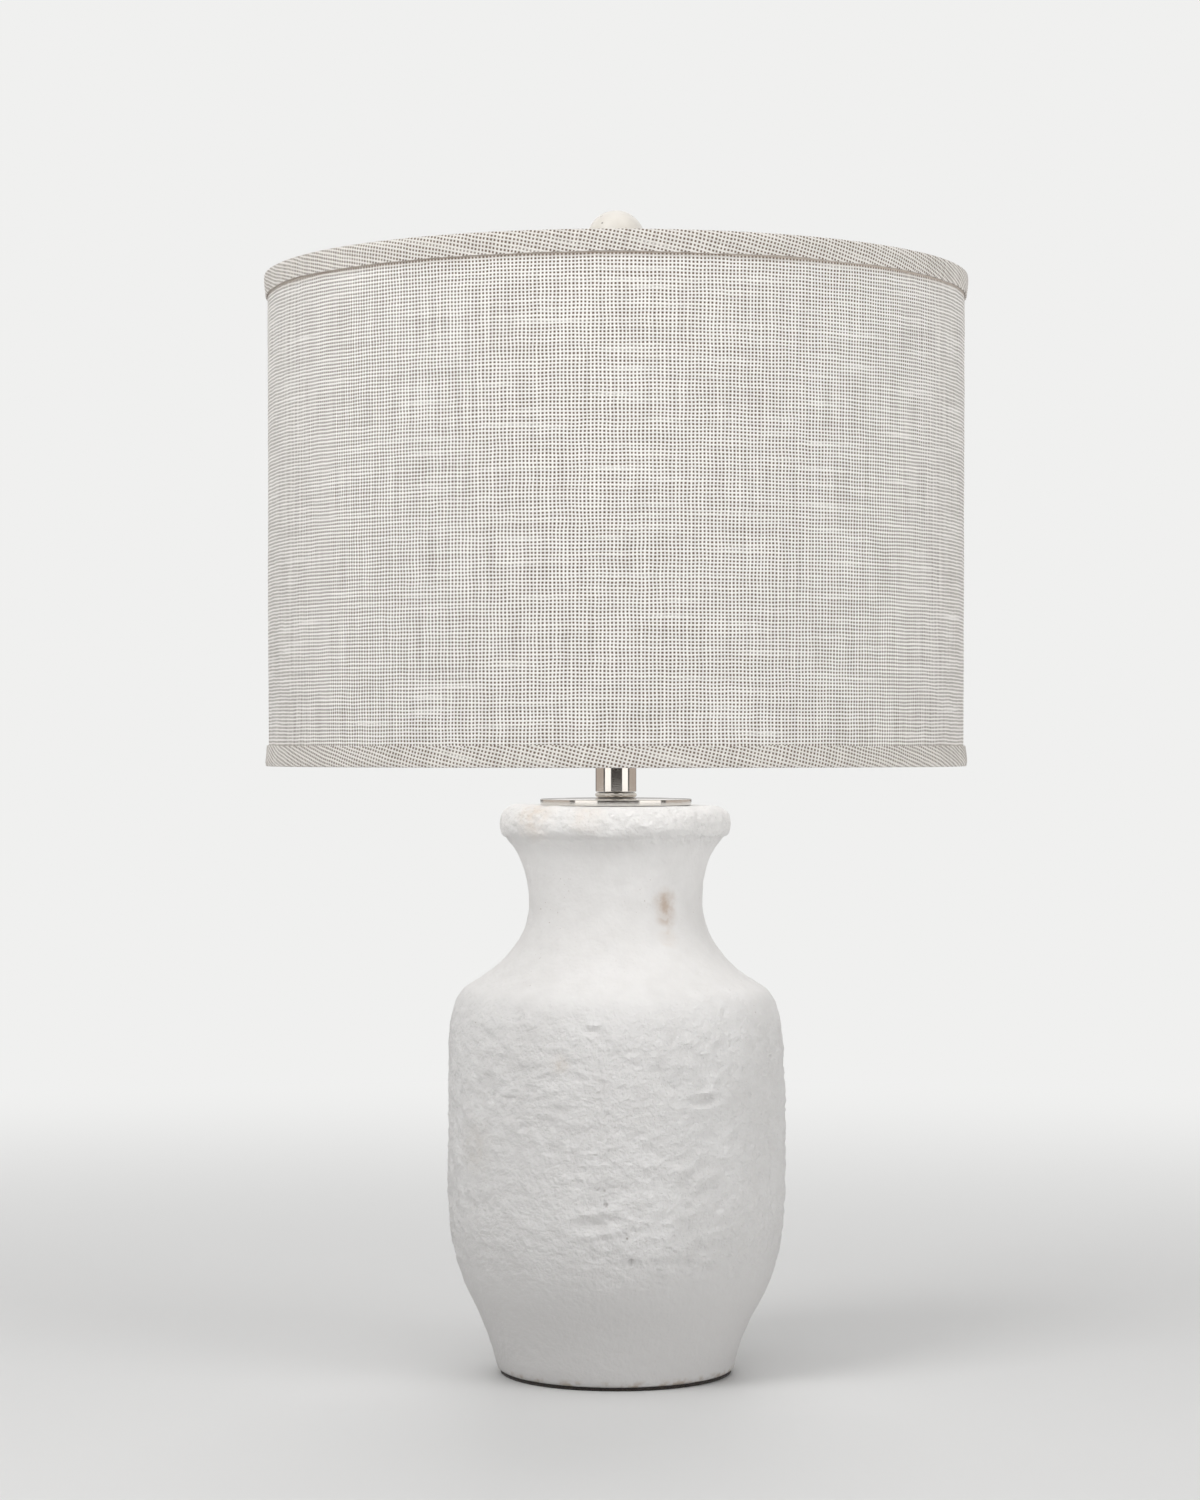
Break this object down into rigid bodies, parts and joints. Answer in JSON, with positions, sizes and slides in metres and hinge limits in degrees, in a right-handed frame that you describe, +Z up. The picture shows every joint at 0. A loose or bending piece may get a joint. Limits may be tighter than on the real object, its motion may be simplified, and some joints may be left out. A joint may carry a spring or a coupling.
{
  "type": "table lamp",
  "caption": "Table lamp with a ginger-jar ceramic body, polished cap and neck, harp, screw socket, bulb, woven drum shade and ball finial.",
  "frame": {"origin": "middle of the underside of the felt pad, on the surface that the lamp stands on", "axes": "+Z up the lamp's axis, from felt to finial; -Y towards the front, where the switch knob points; the harp lies in the XZ plane"},
  "size_m": [0.4316, 0.4316, 0.714],
  "materials": {
    "chalky_ceramic": "matt white, chalky and pitted",
    "felt": "dark felt",
    "black_rubber": "soft moulded rubber",
    "polished_nickel": "polished nickel plate",
    "zinc_plate": "zinc-plated steel",
    "brass": "plain turned brass",
    "insulating_card": "brown fibre card",
    "moulded_phenolic": "black moulded plastic",
    "frosted_glass": "white frosted glass",
    "woven_cloth": "coarse open off-white weave with slubs",
    "bias_binding": "the same cloth cut on the bias",
    "white_styrene": "white lining sheet",
    "white_glaze": "creamy white glaze"
  },
  "bodies": {
    "base": {"jar_body": "chalky_ceramic", "felt_pad": "felt", "cord_bushing": "black_rubber", "threaded_pipe": "zinc_plate", "floor_washer": "zinc_plate", "lock_washer": "zinc_plate", "pipe_nut": "zinc_plate", "cap_plate": "polished_nickel", "neck_collar": "polished_nickel", "neck_tube": "polished_nickel", "check_ring": "polished_nickel", "harp_saddle": "zinc_plate", "saddle_nut": "zinc_plate", "socket_cap": "polished_nickel", "socket_set_screw": "zinc_plate", "socket_shell": "polished_nickel", "socket_liner": "insulating_card", "socket_block": "moulded_phenolic", "screw_shell": "brass", "centre_contact": "brass", "terminal_screw_left": "brass", "terminal_screw_right": "brass"},
    "switch": {"switch_shaft": "brass", "switch_knob": "moulded_phenolic"},
    "bulb_screw": {"bulb_tip": "brass"},
    "bulb": {"bulb_insulator": "moulded_phenolic", "bulb_cap": "zinc_plate", "bulb_glass": "frosted_glass"},
    "harp": {"harp": "zinc_plate"},
    "left_ferrule": {"ferrule_left": "zinc_plate"},
    "right_ferrule": {"ferrule_right": "zinc_plate"},
    "shade_swivel": {"harp_stud": "brass"},
    "shade": {"spider": "polished_nickel", "top_ring": "polished_nickel", "bottom_ring": "polished_nickel", "shade_liner": "white_styrene", "shade_cloth": "woven_cloth", "top_trim": "bias_binding", "bottom_trim": "bias_binding"},
    "finial_screw": {"finial_insert": "brass"},
    "finial": {"finial_neck": "polished_nickel", "finial_ball": "white_glaze"}
  },
  "joints": [
    {"name": "switch_turn", "type": "hinge", "parent": "base", "child": "switch", "pos_m": [0, 0, 0.45796], "axis": [0, -1, 0], "continuous": true},
    {"name": "bulb_rise", "type": "slide", "parent": "base", "child": "bulb_screw", "axis": [0, 0, 1], "range_m": [0, 0.0218]},
    {"name": "bulb_turn", "type": "hinge", "parent": "bulb_screw", "child": "bulb", "pos_m": [0, 0, 0.48], "axis": [0, 0, 1], "range_deg": [0, 2160]},
    {"name": "harp_lift", "type": "slide", "parent": "base", "child": "harp", "axis": [0, 0, 1], "range_m": [0, 0.2]},
    {"name": "left_ferrule_lift", "type": "slide", "parent": "harp", "child": "left_ferrule", "axis": [0, 0, 1], "range_m": [0, 0.013]},
    {"name": "right_ferrule_lift", "type": "slide", "parent": "harp", "child": "right_ferrule", "axis": [0, 0, 1], "range_m": [0, 0.013]},
    {"name": "shade_turn", "type": "hinge", "parent": "harp", "child": "shade_swivel", "pos_m": [0, 0, 0.6541], "axis": [0, 0, 1], "continuous": true},
    {"name": "shade_lift", "type": "slide", "parent": "shade_swivel", "child": "shade", "axis": [0, 0, 1], "range_m": [0, 0.3]},
    {"name": "finial_rise", "type": "slide", "parent": "shade", "child": "finial_screw", "axis": [0, 0, 1], "range_m": [0, 0.009]},
    {"name": "finial_turn", "type": "hinge", "parent": "finial_screw", "child": "finial", "pos_m": [0, 0, 0.696], "axis": [0, 0, 1], "range_deg": [0, 3420]}
  ],
  "couplings": [
    {"joint": "bulb_rise", "follows": "bulb_turn", "m_per_rad": 0.00057757},
    {"joint": "finial_rise", "follows": "finial_turn", "m_per_rad": 0.00014972}
  ]
}
